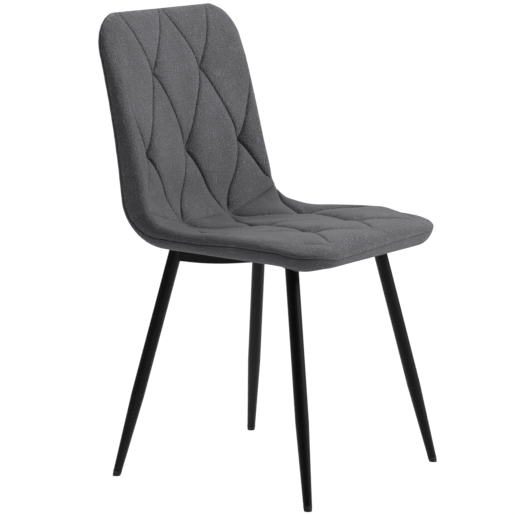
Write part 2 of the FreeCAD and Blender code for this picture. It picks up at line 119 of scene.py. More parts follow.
COLUMN = 73.5                   # half a diamond's width
COLUMNS = 3.0                   # half diamonds from the middle to each side
BORDER = 9.0                    # width of the rim that follows the rounded outline
# Stations of the tack rows, from the one past the top of the back to the one past the seat's front edge.
ROW_STATIONS = (940.0, 818.0, 696.0, 547.0, 404.0, 278.0, 118.0, 19.0, -80.0)
CREASE_ROW = 3.0
TOP_ROW = 0.082
FRONT_ROW = 6.101
QUILT_STEPS = 52                # mesh steps in half a diamond's width
PAD_STEP = 60.0                 # between the listed heights of the padded face over the plywood line
PAD_HEIGHTS = (45.0, 45.0, 44.5, 43.5, 41.5, 38.0, 42.5, 50.0, 50.0, 43.0, 36.0, 29.5, 25.5, 24.0, 23.0)
LEAST_HEIGHT = 5.8              # the cover never comes nearer to the plywood line than this
LEAST_BLEND = 1.5
ROUNDING = 22.0                 # width of the quarter round down to the seam
FRONT_ROUNDING = 8.0            # added to it along the front edge
TOP_ROUNDING = 36.0             # and along the top edge
CORNER_ROUNDING = 78.0          # the whole width at the front corners
RIM_STEPS = 8                   # of the rim, down to the seam
LIP_INSET = (0.3, 1.1, 3.0)     # then the cover turns in and makes the groove of the seam
LIP_TURN = (0.9, 1.7, 1.95)
SEAM_GAP = 2.0                  # from the seam's middle to the cover's edge
# Rows from the top of the back to the front of the seat, columns from the sitter's right to the left.
# The filling has settled a little more on the right.
SAG = (
    (0.0, 0.0, 0.0, 0.0, 0.0, 0.0, 0.0),
    (2.0, 0.0, 2.0, 3.0, 2.0, 0.0, 0.0),
    (6.0, 7.0, 13.0, 20.0, 13.0, 9.0, 2.0),
    (7.0, 16.0, 31.0, 31.0, 31.0, 14.0, -3.0),
    (11.0, 13.0, 20.0, 14.0, 17.0, 9.0, 6.0),
    (11.0, 6.0, 1.0, 0.0, 0.0, -1.0, -3.0),
    (9.0, 6.0, 3.0, 3.0, 3.0, 2.0, 1.0),
)
LINE_SPACING = 130.0            # between two lines that run the same way
NOTCH_DEPTH = 3.0               # how far the thread itself sinks the cover
NOTCH_WIDTH = 1.5
CREASE_DEPTH = 8.0
CREASE_WIDTH = 0.055            # in rows
CREASE_TUCK = 2.5               # how far each cover's edge turns down into the crease
# Row by row: how far each tack draws the columns apart, how deep it is, and how deep its lines are.
TACK_SPREAD = (3.0, 3.5, 3.5, 4.0, 6.0, 12.0, 6.0)
TACK_DEPTH = (4.0, 5.0, 12.0, 19.0, 16.0, 18.0, 18.0, 10.0, 2.0)
LINE_DEPTH = (2.6, 2.8, 3.4, 3.8, 4.4, 9.0, 9.0, 4.0, 1.0)


def cubic_weights(part):
    """Weights of four neighbours in a cubic that passes through the middle two."""
    square, cube = part ** 2, part ** 3
    return (
        (2.0 * square - part - cube) / 2.0,
        (2.0 - 5.0 * square + 3.0 * cube) / 2.0,
        (part + 4.0 * square - 3.0 * cube) / 2.0,
        (cube - square) / 2.0,
    )


def row_station(row):
    """Station of a quilting row: a cubic through the listed rows."""
    known = np.array(ROW_STATIONS)
    first = np.clip(np.floor(row).astype(int), 0, len(known) - 4)
    weights = cubic_weights(row - first)
    return sum(weight * known[first + step] for step, weight in enumerate(weights))


def from_table(table, row, column):
    """Value between the entries of a table of rows and columns: a cubic through them both ways."""
    values = np.pad(np.array(table), ((1, 2), (1, 2)), mode="edge")
    row = np.clip(row, 0.0, len(table) - 1.0)
    column = np.clip(column, 0.0, len(table[0]) - 1.0)
    low_row, low_column = row.astype(int), column.astype(int)
    down, along = cubic_weights(row - low_row), cubic_weights(column - low_column)
    return sum(
        down[j] * along[k] * values[low_row + j, low_column + k] for j in range(4) for k in range(4)
    )


def pad_height(station):
    """Height of the padded face over the plywood line."""
    return from_table((PAD_HEIGHTS,), np.zeros_like(station), station / PAD_STEP)


def quilt_depth(column, row):
    """How far the stitching pulls the cover down.

    Lines of even column + row and even row - column cut the cover into diamonds. Along a line the pull
    goes from the tack's depth at its ends to the line's own depth in the middle. Inside a diamond it is
    the four sides' pull blended, times one less the puff, (16ab(1-a)(1-b)) to a power. The thread's own
    notch dies away from each line as exp(-distance / width). The sewn crease is given apart.
    """
    down, across = (column + row) / 2.0, (row - column) / 2.0
    first, second = np.floor(down), np.floor(across)
    a, b = down - first, across - second
    tacks, lines = np.array(TACK_DEPTH), np.array(LINE_DEPTH)
    last = len(TACK_DEPTH) - 1

    def tack(step_a, step_b):
        return tacks[np.clip(first + step_a + second + step_b + 1, 0, last).astype(int)]

    def side(start, end, part):
        level = np.interp(row, np.arange(last + 1) - 1.0, lines)
        reach = np.abs(2.0 * part - 1.0) ** 3
        return level + (np.where(part < 0.5, start, end) - level) * reach

    corner = {(j, k): tack(j, k) for j in (0, 1) for k in (0, 1)}
    pull = (
        (1 - b) * side(corner[0, 0], corner[1, 0], a)
        + b * side(corner[0, 1], corner[1, 1], a)
        + (1 - a) * side(corner[0, 0], corner[0, 1], b)
        + a * side(corner[1, 0], corner[1, 1], b)
        - (1 - a) * (1 - b) * corner[0, 0]
        - a * (1 - b) * corner[1, 0]
        - (1 - a) * b * corner[0, 1]
        - a * b * corner[1, 1]
    )
    puff = (16.0 * a * b * (1 - a) * (1 - b)) ** (0.4 + 0.15 * eased(3.0, 3.8, row))
    sewn = CREASE_DEPTH * puff * np.exp(-np.abs(row - CREASE_ROW) / CREASE_WIDTH)
    from_line = np.minimum(np.minimum(a, 1 - a), np.minimum(b, 1 - b)) * LINE_SPACING
    notch = NOTCH_DEPTH * np.exp(-from_line / NOTCH_WIDTH)
    return pull * (1.0 - puff) + notch, sewn


def nearest_tack(column, row):
    """The nearest row, and how many columns a point is aside of its nearest tack."""
    near_row = np.rint(row)
    return near_row, np.mod(column + near_row + 1.0, 2.0) - 1.0


def folds(column, row):
    """Small folds of the cloth, as a depth.

    Round each tack, cosines of a few times the angle about it, dying away with distance. Beside each
    line, a ripple along it. Over everything, a slow waviness from three crossing sines.
    """
    near_row, aside = nearest_tack(column, row)
    along_x, along_s = aside * COLUMN, (row - near_row) * 2.0 * COLUMN
    reach, angle = np.hypot(along_x, along_s), np.arctan2(along_s, along_x)
    phase = 7.3 * near_row + 3.1 * (column - aside)
    radial = np.exp(-reach / 20.0) * (1.0 - np.exp(-((reach / 8.0) ** 2)))
    radial *= np.cos(9.0 * angle + phase) + 0.6 * np.cos(14.0 * angle + 2.0 * phase)
    down, across = (column + row) / 2.0, (row - column) / 2.0
    gap = np.minimum(np.abs(down - np.rint(down)), np.abs(across - np.rint(across))) * LINE_SPACING
    ripple = np.exp(-gap / 7.0) * np.sin(68.0 * row + 5.0 * np.sin(3.0 * column)) * (1 - np.exp(-gap / 2.0))
    wave = np.sin(4.1 * row + 2.3 * column) + np.sin(6.7 * row - 3.9 * column) + np.sin(5.3 * column + 1.7)
    return 0.75 * radial + 0.3 * ripple + 0.45 * wave


def quilting_left(column, row, station):
    """The share of the quilting that is left where it dies away, at the sides and along the front edge.

    It reaches further on the sitter's left, and furthest there just in front of the crease. The lines
    that would end in the top corners are left out.
    """
    outwards = np.abs(column)
    starts = np.where(column < 0.0, 2.1, 2.3)
    by_crease = eased(2.95, 3.1, row) * eased(3.9, 3.5, row) * (column > 0.0)
    side = 1.0 - (0.95 - 0.55 * by_crease) * eased(starts, starts + 0.6, outwards)
    top_corner = 1.0 - eased(1.0, 0.8, row) * eased(2.0, 2.2, outwards)
    front = 1.0 - 0.8 * eased(70.0, 10.0, station)
    return side * top_corner * front


def outline_grid(rows, columns):
    """Station and x of a grid of quilting rows and columns, bent into the rounded outline.

    The outer columns are squeezed to the rim. In each corner square a point at (u, v) is drawn towards
    the corner's centre until the square's edge lies on the arc.
    """
    straight = 2.2
    column, row = np.meshgrid(columns, rows)
    half = HALF_WIDTH - BORDER
    past = np.clip(np.abs(column) - straight, 0.0, None)
    squeeze = (COLUMNS * COLUMN - half) / (COLUMNS - straight) ** 2
    x = np.sign(column) * (np.abs(column) * COLUMN - squeeze * past ** 2)
    near_row, aside = nearest_tack(column, row)
    inner = eased(2.9, straight, np.abs(column))
    spread = np.array(TACK_SPREAD)[np.clip(near_row, 0, len(TACK_SPREAD) - 1).astype(int)]
    spread = spread * np.exp(-((row - near_row) / 0.12) ** 2) * inner
    x += spread * np.tanh(8.0 * aside) * (1.0 - aside ** 2) ** 2
    x -= (6.0 + 4.0 * column) * eased(0.8, 0.0, row) * inner
    to_edge = np.clip((np.abs(column) - 1.0) / 2.0, 0.0, 1.0) ** 2
    station = row_station(row) + 22.0 * to_edge * np.exp(-((row - CREASE_ROW) / 0.6) ** 2)
    station = np.clip(station, BORDER, SHELL_LENGTH - BORDER)
    for corner, centre, sign in (
        (FRONT_CORNER - BORDER, FRONT_CORNER, -1.0),
        (TOP_CORNER - BORDER, SHELL_LENGTH - TOP_CORNER, 1.0),
    ):
        u = (np.abs(x) - (half - corner)) / corner
        v = sign * (station - centre) / corner
        inside = (u > 0.0) & (v > 0.0)
        u, v = np.where(inside, u, 0.0), np.where(inside, v, 0.0)
        widest = np.maximum(u, v)
        draw = 1.0 - (1.0 - widest / np.maximum(np.hypot(u, v), 1e-9)) * widest ** 3
        x = np.where(inside, np.sign(x) * (half - corner + corner * u * draw), x)
        station = np.where(inside, centre + sign * corner * v * draw, station)
    return column, row, x, station


def rim_direction(x, station):
    """Outward direction in the plane of the cover at a point of the rim's inner line."""
    out_x = np.where(np.abs(x) > HALF_WIDTH - BORDER - 0.01, np.sign(x), 0.0)
    out_s = np.where(station < BORDER + 0.01, -1.0, 0.0)
    out_s = np.where(station > SHELL_LENGTH - BORDER - 0.01, 1.0, out_s)
    for corner, centre, sign in (
        (FRONT_CORNER, FRONT_CORNER, -1.0),
        (TOP_CORNER, SHELL_LENGTH - TOP_CORNER, 1.0),
    ):
        u, v = np.abs(x) - (HALF_WIDTH - corner), sign * (station - centre)
        inside = (u > 0.0) & (v > 0.0)
        reach = np.maximum(np.hypot(u, v), 1e-9)
        out_x = np.where(inside, np.sign(x) * u / reach, out_x)
        out_s = np.where(inside, sign * v / reach, out_s)
    return out_x, out_s


def edge_distance(x, station):
    """Distance in from the rounded outline."""
    across = HALF_WIDTH - np.abs(x)
    distance = np.minimum(across, np.minimum(station, SHELL_LENGTH - station))
    for corner, from_end in ((FRONT_CORNER, station), (TOP_CORNER, SHELL_LENGTH - station)):
        inside = (across < corner) & (from_end < corner)
        arc = corner - np.hypot(corner - across, corner - from_end)
        distance = np.where(inside, arc, distance)
    return np.maximum(distance, 0.0)


def round_share(x, station, width):
    """Share of the full height on a quarter round: the root of 1 - (1 - distance/width)^2."""
    inside = np.clip(1.0 - edge_distance(x, station) / width, 0.0, 1.0)
    return np.sqrt(1.0 - inside ** 2)


def rounding(station, x):
    """Width of the quarter round here, eased from the plain width to the front corners' own."""
    corner = eased(140.0, 40.0, station) * eased(60.0, 180.0, np.abs(x))
    front = FRONT_ROUNDING * eased(80.0, 20.0, station)
    top = TOP_ROUNDING * eased(690.0, 790.0, station)
    return ROUNDING + front + top + (CORNER_ROUNDING - ROUNDING - front) * corner


def cover_mesh(name, points, flat, faces):
    """A smooth mesh from points in metres, with the cut cloth's own flat millimetres as its UV map."""
    mesh = bpy.data.meshes.new(name)
    mesh.from_pydata(points, [], faces)
    uv = mesh.uv_layers.new(name="cloth")
    corners = np.zeros(len(mesh.loops), np.int32)
    mesh.loops.foreach_get("vertex_index", corners)
    uv.data.foreach_set("uv", (flat[corners] / 1000.0).ravel())
    mesh.polygons.foreach_set("use_smooth", np.ones(len(mesh.polygons), bool))
    mesh.validate()
    piece = bpy.data.objects.new(name, mesh)
    bpy.context.scene.collection.objects.link(piece)
    return piece


def grid_faces(ids):
    """Four-cornered faces between neighbours of a grid of vertex numbers."""
    return np.stack([ids[:-1, :-1], ids[:-1, 1:], ids[1:, 1:], ids[1:, :-1]], -1).reshape(-1, 4)


def joined(grid, rim):
    """A grid's values and then its rim's, in the order of the vertices."""
    return np.concatenate([grid.ravel(), rim.ravel()])


def add_rim(x, station, path, width, count):
    """Quarter-round steps from a grid's edge out to the edge seam, then a lip that turns in there.

    A step turned by t lies width * (1 - sin t) in from the outline, at cos t of the full height. Gives
    all x and stations, then the rim's own share of the height, turn in, and vertex numbers.
    """
    edge_x, edge_station = x.ravel()[path], station.ravel()[path]
    turn = np.linspace(np.arcsin(1.0 - BORDER / width), math.pi / 2.0, count + 1)[1:]
    ones = np.ones(len(path))
    inset = np.concatenate([width * (1.0 - np.sin(turn)), np.outer(LIP_INSET, ones)])
    share = np.concatenate([np.cos(turn), np.outer(np.zeros(len(LIP_INSET)), ones)])
    turned_in = np.concatenate([np.zeros(turn.shape), np.outer(LIP_TURN, ones)])
    out_x, out_s = rim_direction(edge_x, edge_station)
    rim_x = edge_x + out_x * (BORDER - inset)
    rim_station = edge_station + out_s * (BORDER - inset)
    ids = np.concatenate([path[None], x.size + np.arange(rim_x.size).reshape(rim_x.shape)])
    return joined(x, rim_x), joined(station, rim_station), share, turned_in, ids


def cut_flat(points, x, station, path, size):
    """Place of each vertex on the cut cloth: the rim, after the grid's size, is unrolled outwards."""
    out_x, out_s = rim_direction(x[path], station[path])
    steps = np.concatenate([points[path][None], points[size:].reshape(-1, len(path), 3)])
    run = 1000.0 * np.cumsum(np.linalg.norm(np.diff(steps, axis=0), axis=2), axis=0)
    flat = np.stack([x, station], -1)
    flat[size:, 0] = (x[path] + out_x * run).ravel()
    flat[size:, 1] = (station[path] + out_s * run).ravel()
    return flat


def quilted_cover(name, rows, seam_first):
    """The padded face on a grid, then a rim of quarter-round steps down to the edge seam.

    The rows run towards the top of the back. The seam row is doubled, and its outer copy is tucked down
    into the crease. The grid's squares are cut along the stitched lines, which are their diagonals.
    """
    columns = np.linspace(-COLUMNS, COLUMNS, int(2 * COLUMNS) * QUILT_STEPS + 1)
    seam_row = 0 if seam_first else len(rows) - 1
    rows = np.insert(rows, seam_row, rows[seam_row])
    column, row, x, station = outline_grid(rows, columns)
    tuck = np.zeros_like(x)
    tuck[0 if seam_first else -1] = 1.0
    ids = np.arange(x.size).reshape(x.shape)
    if seam_first:
        path = np.concatenate([ids[:-1, -1], ids[-1, ::-1], ids[-2::-1, 0]])
    else:
        path = np.concatenate([ids[:0:-1, 0], ids[0, :], ids[1:, -1]])

    width = rounding(station, x)
    edge_width = width.ravel()[path]
    all_x, all_station, rim_share, turned_in, rim_ids = add_rim(x, station, path, edge_width, RIM_STEPS)
    share = joined(round_share(x, station, width), rim_share)
    all_column, all_row, tuck = (
        joined(values, np.tile(values.ravel()[path], len(rim_share))) for values in (column, row, tuck)
    )
    quilting, sewn = quilt_depth(all_column, all_row)
    quilting = (quilting + folds(all_column, all_row)) * quilting_left(all_column, all_row, all_station)
    pull = from_table(SAG, all_row, all_column + COLUMNS) + quilting + sewn
    room = (pad_height(all_station) - pull - LEAST_HEIGHT) / LEAST_BLEND
    full = LEAST_HEIGHT + np.log1p(np.exp(np.clip(room, -30.0, 30.0))) * LEAST_BLEND
    low = seam_height(all_station, all_x) + SEAM_GAP
    height = low + (full - low) * share - joined(np.zeros(x.size), turned_in) - CREASE_TUCK * tuck
    points = shell_surface(all_station, all_x, height)

    quads = grid_faces(ids)
    middle_row = (row[:-1, :-1] + row[1:, 1:]) / 2.0
    middle_column = (column[:-1, :-1] + column[:-1, 1:]) / 2.0
    rising_gap = np.abs(np.mod((middle_column + middle_row) + 1.0, 2.0) - 1.0)
    falling_gap = np.abs(np.mod((middle_row - middle_column) + 1.0, 2.0) - 1.0)
    # Rows run the other way from the row numbers, so a line of steady column + row climbs the grid.
    rising = (rising_gap < falling_gap).ravel()[:, None]
    first_half = np.where(rising, quads[:, [0, 1, 2]], quads[:, [0, 1, 3]])
    second_half = np.where(rising, quads[:, [0, 2, 3]], quads[:, [1, 2, 3]])
    faces = first_half.tolist() + second_half.tolist() + grid_faces(rim_ids.T).tolist()
    return cover_mesh(name, points, cut_flat(points, all_x, all_station, path, x.size), faces)


up_rows = np.arange(math.ceil((CREASE_ROW - TOP_ROW) * QUILT_STEPS) + 1) / QUILT_STEPS
down_rows = np.arange(math.ceil((FRONT_ROW - CREASE_ROW) * QUILT_STEPS) + 1) / QUILT_STEPS
quilted_back = quilted_cover("quilted_back", CREASE_ROW - up_rows, True)
quilted_seat = quilted_cover("quilted_seat", CREASE_ROW + down_rows[::-1], False)


def linear(code):
    """A hex colour's three parts, each turned from sRGB to linear light."""
    parts = [int(code[at:at + 2], 16) / 255.0 for at in (1, 3, 5)]
    return tuple(p / 12.92 if p <= 0.04045 else ((p + 0.055) / 1.055) ** 2.4 for p in parts) + (1.0,)


def new_material(name):
    """An empty node material: its tree, its shader and the output it feeds."""
    material = bpy.data.materials.new(name)
    material.use_nodes = True
    tree = material.node_tree
    tree.nodes.clear()
    shader = tree.nodes.new("ShaderNodeBsdfPrincipled")
    output = tree.nodes.new("ShaderNodeOutputMaterial")
    tree.links.new(shader.outputs["BSDF"], output.inputs["Surface"])
    return material, tree, shader


def add_node(tree, kind, settings=(), **links):
    """A node of a kind with its settings, and its sockets set to values or joined to other sockets."""
    node = tree.nodes.new("ShaderNode" + kind)
    for key, value in dict(settings).items():
        setattr(node, key, value)
    for key, value in links.items():
        socket = node.inputs[int(key[1:])] if key[1:].isdigit() else node.inputs[key.replace("_", " ")]
        if isinstance(value, bpy.types.NodeSocket):
            tree.links.new(value, socket)
        else:
            socket.default_value = value
    return node


def colour_ramp(tree, factor, stops):
    """A ramp through (place, hex colour) stops."""
    ramp = add_node(tree, "ValToRGB", Fac=factor)
    for index, (place, code) in enumerate(stops):
        stop = ramp.color_ramp.elements[index] if index < 2 else ramp.color_ramp.elements.new(place)
        stop.position, stop.color = place, linear(code)
    return ramp.outputs["Color"]


THREAD_SCALE = 76.923           # of a wave texture, whose bands lie 2 pi / (20 scale) apart


def charcoal_weave(name, dark, middle, light):
    """Melange linen-look polyester, woven plain: light and dark fibres in the yarn, with slubs.

    The real threads are about 0.6 mm apart and are drawn 4.1 mm apart, so that they show.
    """
    material, tree, shader = new_material(name)
    cloth = add_node(tree, "UVMap", {"uv_map": "cloth"}).outputs["UV"]

    def stretched_noise(stretch, detail, **more):
        place = add_node(tree, "Mapping", Vector=cloth, Scale=stretch).outputs["Vector"]
        return add_node(tree, "TexNoise", Vector=place, Scale=1.0, Detail=detail, **more).outputs["Fac"]

    waver = add_node(tree, "TexNoise", Vector=cloth, Scale=60.0, Detail=2.0)
    nudge = add_node(tree, "VectorMath", {"operation": "SCALE"}, Vector=waver.outputs["Color"], Scale=0.0008)
    place = add_node(tree, "VectorMath", _0=cloth, _1=nudge.outputs["Vector"]).outputs["Vector"]
    warp, weft = (
        add_node(tree, "TexWave", {"bands_direction": way}, Vector=place, Scale=THREAD_SCALE).outputs["Fac"]
        for way in ("X", "Y")
    )
    weave = add_node(tree, "Math", {"operation": "MULTIPLY"}, _0=warp, _1=weft).outputs[0]
    fibres = stretched_noise((620.0, 290.0, 1.0), 4.0, Roughness=0.65)
    cross = stretched_noise((260.0, 680.0, 1.0), 4.0, Roughness=0.65)
    melange = add_node(tree, "Mix", {"data_type": "FLOAT"}, _0=0.45, _2=fibres, _3=cross).outputs[0]
    slubs = stretched_noise((300.0, 45.0, 1.0), 1.0)
    slub = add_node(tree, "MapRange", _0=slubs, _1=0.56, _2=0.78, _3=0.0, _4=0.09).outputs[0]
    wear = add_node(tree, "TexNoise", Vector=cloth, Scale=9.0, Detail=3.0).outputs["Fac"]
    wear_tone = add_node(tree, "MapRange", _0=wear, _1=0.3, _2=0.7, _3=-0.02, _4=0.02).outputs[0]
    tone = add_node(tree, "Math", _0=melange, _1=slub).outputs[0]
    tone = add_node(tree, "Math", _0=tone, _1=wear_tone).outputs[0]
    colour = colour_ramp(tree, tone, ((0.32, dark), (0.5, middle), (0.7, light)))
    # Painted shade: the base colour is multiplied darker, down to 0.92, in the hollows between the threads.
    gap = add_node(tree, "MapRange", _0=weave, _1=0.0, _2=0.35, _3=0.92, _4=1.0).outputs[0]
    shaded = add_node(tree, "Mix", {"data_type": "RGBA", "blend_type": "MULTIPLY"}, _0=1.0, _6=colour)
    tree.links.new(gap, shaded.inputs[7])
    tree.links.new(shaded.outputs[2], shader.inputs["Base Color"])
    height = add_node(tree, "Math", {"operation": "MULTIPLY_ADD"}, _0=melange, _1=0.8, _2=weave).outputs[0]
    bump = add_node(tree, "Bump", Height=height, Strength=0.55, Distance=0.0006)
    tree.links.new(bump.outputs["Normal"], shader.inputs["Normal"])
    shader.inputs["Roughness"].default_value = 0.92
    shader.inputs["Specular IOR Level"].default_value = 0.25
    shader.inputs["Sheen Weight"].default_value = 0.12
    shader.inputs["Sheen Roughness"].default_value = 0.45
    return material


def dress(material, *nodes):
    """Give CAD nodes a material."""
    for node in nodes:
        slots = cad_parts[node].data.materials
        slots.clear()
        slots.append(material)


# Dry, matt cloth, its fibres a little raised.
quilted_cloth = charcoal_weave("charcoal_melange_weave_quilted", "#363638", "#5c5c5f", "#8a8a90")
for piece, stands_for in ((quilted_back, "back"), (quilted_seat, "seat")):
    piece.data.materials.append(quilted_cloth)
    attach(piece, "root")
    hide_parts(stands_for + "_cover", stands_for + "_foam")
dress(quilted_cloth, "seat_cover", "back_cover")

# ---- Plain cover behind and below ----
# The same charcoal cloth, unquilted, over thin wadding. It wraps the back and the underside of the shell
# and meets the quilted covers in the edge seam.

REAR_DEPTH = 10.5
REAR_ROUNDING = 20.0
PLAIN_STEPS = 16
PLAIN_RIM_STEPS = 7
PLAIN_INSET = 0.01              # in rows, so that its grid ends just past the quilted one's
GATHER = (45.0, -198.0)         # station and x of the corner where the cloth is gathered
GATHER_DEPTH = 5.0
GATHER_REACH = 30.0


def rear_depth(station, x):
    """Depth of the plain cover under the plywood line, with cloth gathered at one front corner."""
    away = (station - GATHER[0]) ** 2 + (x - GATHER[1]) ** 2
    return REAR_DEPTH + GATHER_DEPTH * np.exp(-away / GATHER_REACH ** 2)


def plain_cover(name):
    """The rear face on a grid, then a rim of quarter-round steps out to the edge seam."""
    count = int(2 * COLUMNS) * PLAIN_STEPS + 1
    rows = np.linspace(FRONT_ROW + PLAIN_INSET, TOP_ROW - PLAIN_INSET, count)
    _, _, x, station = outline_grid(rows, np.linspace(-COLUMNS, COLUMNS, count))
    ids = np.arange(x.size).reshape(x.shape)
    path = np.concatenate([ids[:-1, -1], ids[-1, :0:-1], ids[:0:-1, 0], ids[0, :]])
    width = np.full(len(path), REAR_ROUNDING)
    all_x, all_station, rim_share, turned_in, rim_ids = add_rim(x, station, path, width, PLAIN_RIM_STEPS)
    share = joined(round_share(x, station, REAR_ROUNDING), rim_share)
    high = seam_height(all_station, all_x) - SEAM_GAP
    height = high - (high + rear_depth(all_station, all_x)) * share + joined(np.zeros(x.size), turned_in)
    points = shell_surface(all_station, all_x, height)
    quads = np.concatenate([grid_faces(ids), grid_faces(rim_ids.T)])[:, ::-1]
    return cover_mesh(name, points, cut_flat(points, all_x, all_station, path, x.size), quads.tolist())


plain_rear = plain_cover("plain_rear")
# The same dry, matt cloth, a shade darker.
plain_cloth = charcoal_weave("charcoal_melange_weave_plain", "#343436", "#555558", "#7e7e84")
plain_rear.data.materials.append(plain_cloth)
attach(plain_rear, "root")
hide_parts("rear_cover", "rear_wadding")
dress(plain_cloth, "rear_cover")

# ---- Plywood shell, foam and wadding ----
# One sheet of pressed birch veneer, 9 mm thick, with foam pads glued on the sitter's side and thin polyester
# wadding behind. The covers hide them.


def wear_material(name, base, worn, roughness, grain, bump_depth, metallic=0.0, specular=0.5):
    """A base colour mottled with a second one by noise of a given grain, with the same noise as bump."""
    material, tree, shader = new_material(name)
    place = add_node(tree, "TexCoord").outputs["Object"]
    noise = add_node(tree, "TexNoise", Vector=place, Scale=1.0 / grain, Detail=3.0, Roughness=0.6)
    mottle = noise.outputs["Fac"]
    colour = colour_ramp(tree, mottle, ((0.35, base), (0.7, worn)))
    tree.links.new(colour, shader.inputs["Base Color"])
    rough = add_node(tree, "MapRange", _0=mottle, _1=0.3, _2=0.7, _3=roughness - 0.06, _4=roughness + 0.06)
    tree.links.new(rough.outputs[0], shader.inputs["Roughness"])
    bump = add_node(tree, "Bump", Height=mottle, Strength=0.4, Distance=bump_depth)
    tree.links.new(bump.outputs["Normal"], shader.inputs["Normal"])
    shader.inputs["Metallic"].default_value = metallic
    shader.inputs["Specular IOR Level"].default_value = specular
    return material


# Birch veneer, sanded but not varnished.
dress(wear_material("birch_plywood", "#b98f5e", "#cfa873", 0.6, 0.004, 0.0004), "shell_core")
# Open-cell foam with its sawn face.
dress(wear_material("cut_foam", "#d9d2b4", "#e6e0c6", 0.95, 0.002, 0.0008), "seat_foam", "back_foam")
# Loose white fibre, laid as a sheet.
dress(wear_material("polyester_wadding", "#dcdcd8", "#efefec", 0.95, 0.003, 0.0008), "rear_wadding")

# ---- Dust cloth and its staples ----
# A flat piece of black non-woven cloth under the seat, stapled round its edge through the plain cover into
# the plywood.

# Bonded fibre, dull.
dress(wear_material("black_nonwoven_cloth", "#141415", "#202022", 0.9, 0.0012, 0.0003), "dust_cover")
# Galvanised wire, grey and half bright.
staple_wire = wear_material("galvanised_staple_wire", "#8d8f91", "#a9abad", 0.4, 0.0008, 0.0001, 1.0)
dress(staple_wire, "dust_cover_staples")

# ---- Legs and crossed rails ----
# Four round steel tubes lean outwards and taper towards the floor. Two steel channels cross under the seat,
# one whole and one in halves, and each end of them is welded to a leg.

LEGS = [end + "_" + side for end in ("front", "rear") for side in ("left", "right")]
# Matt black powder coat with a fine grain.
powder_coat = wear_material(
    "matt_black_powder_coat", "#050506", "#09090a", 0.42, 0.0014, 0.0002, specular=0.22
)
dress(powder_coat, *("leg_" + name for name in LEGS))
dress(powder_coat, "cross_rail_long", "cross_rail_front_half", "cross_rail_rear_half")

# ---- Weld beads ----
# A bead of weld runs over each end of the rails where it meets a leg, powder coated with the rest.

LEG_RADIUS = 12.5
LEG_FEET = {"front": (214.3, -239.4, 0.166, -0.200), "rear": (218.4, 192.6, 0.196, 0.189)}
ARM_LOW = {"front": 418.5, "rear": 408.0}
ARM_TOP = 425.0
ARM_MIDDLE = 407.5              # height of the middle of the rails' ends
ARM_HALF = 10.0
CROSSING_Y = -17.3
BEAD_RADIUS = 1.9
BEAD_POINTS = 73
BEAD_SIDES = 10


def weld_bead(end, sign, centre):
    """Points and faces of a tube along the line where a channel meets a round leg.

    The channel's outline, up one web, over the top and down the other, is carried along the rail to the
    leg's surface by solving for the distance at which it is one leg radius from the axis. A circle, its
    radius rippled as the weld was laid, is swept along that line.
    """
    foot_x, foot_y, lean_x, lean_y = LEG_FEET[end]
    foot = np.array([sign * foot_x, foot_y, 0.0])
    axis = np.array([-sign * lean_x, -lean_y, 1.0])
    joint = foot + axis * ARM_MIDDLE
    axis = axis / np.linalg.norm(axis)
    run = (joint - centre) / np.linalg.norm(joint - centre)
    side = np.array([-run[1], run[0], 0.0])
    part = np.linspace(0.0, 1.0, BEAD_POINTS)[:, None]
    web = ARM_TOP - ARM_LOW[end]
    length = part * (2.0 * web + 2.0 * ARM_HALF)
    across = np.clip(length - web, 0.0, 2.0 * ARM_HALF) - ARM_HALF
    height = ARM_LOW[end] + np.clip(np.minimum(length, 2.0 * (web + ARM_HALF) - length), 0.0, web)
    start = centre * np.array([1.0, 1.0, 0.0]) + side * across + np.array([0.0, 0.0, 1.0]) * height
    from_axis = start - foot
    from_axis = from_axis - (from_axis @ axis)[:, None] * axis
    heading = run - (run @ axis) * axis
    b, a = from_axis @ heading, heading @ heading
    c = np.sum(from_axis ** 2, 1) - LEG_RADIUS ** 2
    distance = (-b - np.sqrt(np.maximum(b ** 2 - a * c, 0.0))) / a
    path = start + distance[:, None] * run
    ahead = np.gradient(path, axis=0)
    ahead /= np.linalg.norm(ahead, axis=1)[:, None]
    out = np.cross(ahead, run)
    out /= np.linalg.norm(out, axis=1)[:, None]
    up = np.cross(out, ahead)
    turn = np.linspace(0.0, 2.0 * math.pi, BEAD_SIDES + 1)[:-1]
    taper = np.minimum(1.0, 5.0 * np.minimum(part, 1.0 - part) + 0.35)
    size = BEAD_RADIUS * taper * (1.0 + 0.12 * np.sin(part * 150.0))
    ring = np.cos(turn)[None, :, None] * out[:, None] + np.sin(turn)[None, :, None] * up[:, None]
    points = (path[:, None] + ring * size[:, None]) / 1000.0
    ids = np.arange(BEAD_POINTS * BEAD_SIDES).reshape(-1, BEAD_SIDES)
    faces = grid_faces(np.concatenate([ids, ids[:, :1]], 1)).tolist()
    return points.reshape(-1, 3), faces + [ids[0].tolist(), ids[-1, ::-1].tolist()]


rail_crossing = np.array([0.0, CROSSING_Y, ARM_MIDDLE])
bead_points, bead_faces = [], []
for end in ("front", "rear"):
    for sign in (1.0, -1.0):
        new_points, new_faces = weld_bead(end, sign, rail_crossing)
        shift = sum(len(points) for points in bead_points)
        bead_points.append(new_points)
        bead_faces += [[index + shift for index in face] for face in new_faces]
bead_points = np.concatenate(bead_points)
weld_beads = cover_mesh("weld_beads", bead_points, bead_points[:, :2] * 1000.0, bead_faces)
weld_beads.data.materials.append(powder_coat)
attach(weld_beads, "root")

# ---- Foot caps and seat spacers ----
# Moulded plastic: a cap pressed into the end of each leg, and a round spacer on each bolt between the rail
# and the seat.

# Black polyethylene as it left the mould, faintly waxy.
moulded = wear_material("moulded_black_polyethylene", "#121213", "#1a1a1b", 0.6, 0.003, 0.0001)
dress(moulded, *("foot_cap_" + name for name in LEGS))
dress(moulded, *("seat_spacer_" + name for name in LEGS))

# ---- Bolts, washers and tee nuts ----
# Turned and stamped steel fixings that hold the frame to the plywood.

